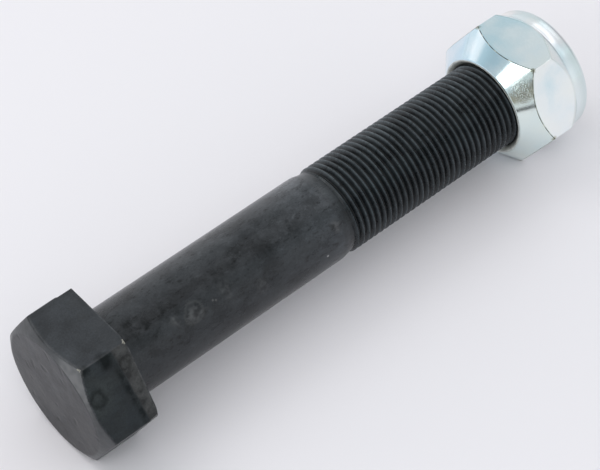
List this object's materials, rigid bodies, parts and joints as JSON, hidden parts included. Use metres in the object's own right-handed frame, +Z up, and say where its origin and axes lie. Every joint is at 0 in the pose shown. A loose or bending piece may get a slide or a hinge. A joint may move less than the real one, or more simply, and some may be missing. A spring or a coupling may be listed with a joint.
{
  "type": "hex bolt with locknut",
  "caption": "Long hex head bolt in black-finished steel, half plain shank and half fine thread, with a bright zinc conical-seat locknut with a nylon ring on its tip.",
  "frame": {"origin": "on the bolt's axis, in the plane of the bearing face under the head", "axes": "+X along the bolt from the head to the tip, +Z up with the part lying on a flat of its head"},
  "size_m": [0.1333, 0.0344, 0.0298],
  "materials": {
    "black_steel": "matte black phosphate and oil on forged steel",
    "zinc_plate": "bright bluish zinc plate",
    "nylon": "natural nylon"
  },
  "bodies": {
    "bolt": {"hex_bolt": "black_steel"},
    "insert": {"nylon_insert": "nylon"},
    "nut": {"locknut": "zinc_plate"}
  },
  "joints": [
    {"name": "nut_travel", "type": "slide", "parent": "bolt", "child": "insert", "axis": [1, 0, 0], "range_m": [-0.0421, 0.0136]},
    {"name": "nut_turn", "type": "hinge", "parent": "insert", "child": "nut", "pos_m": [0.1115, 0, 0], "axis": [1, 0, 0], "range_deg": [-10080, 3240]}
  ],
  "couplings": [
    {"joint": "nut_travel", "follows": "nut_turn", "m_per_rad": 0.00023873}
  ]
}
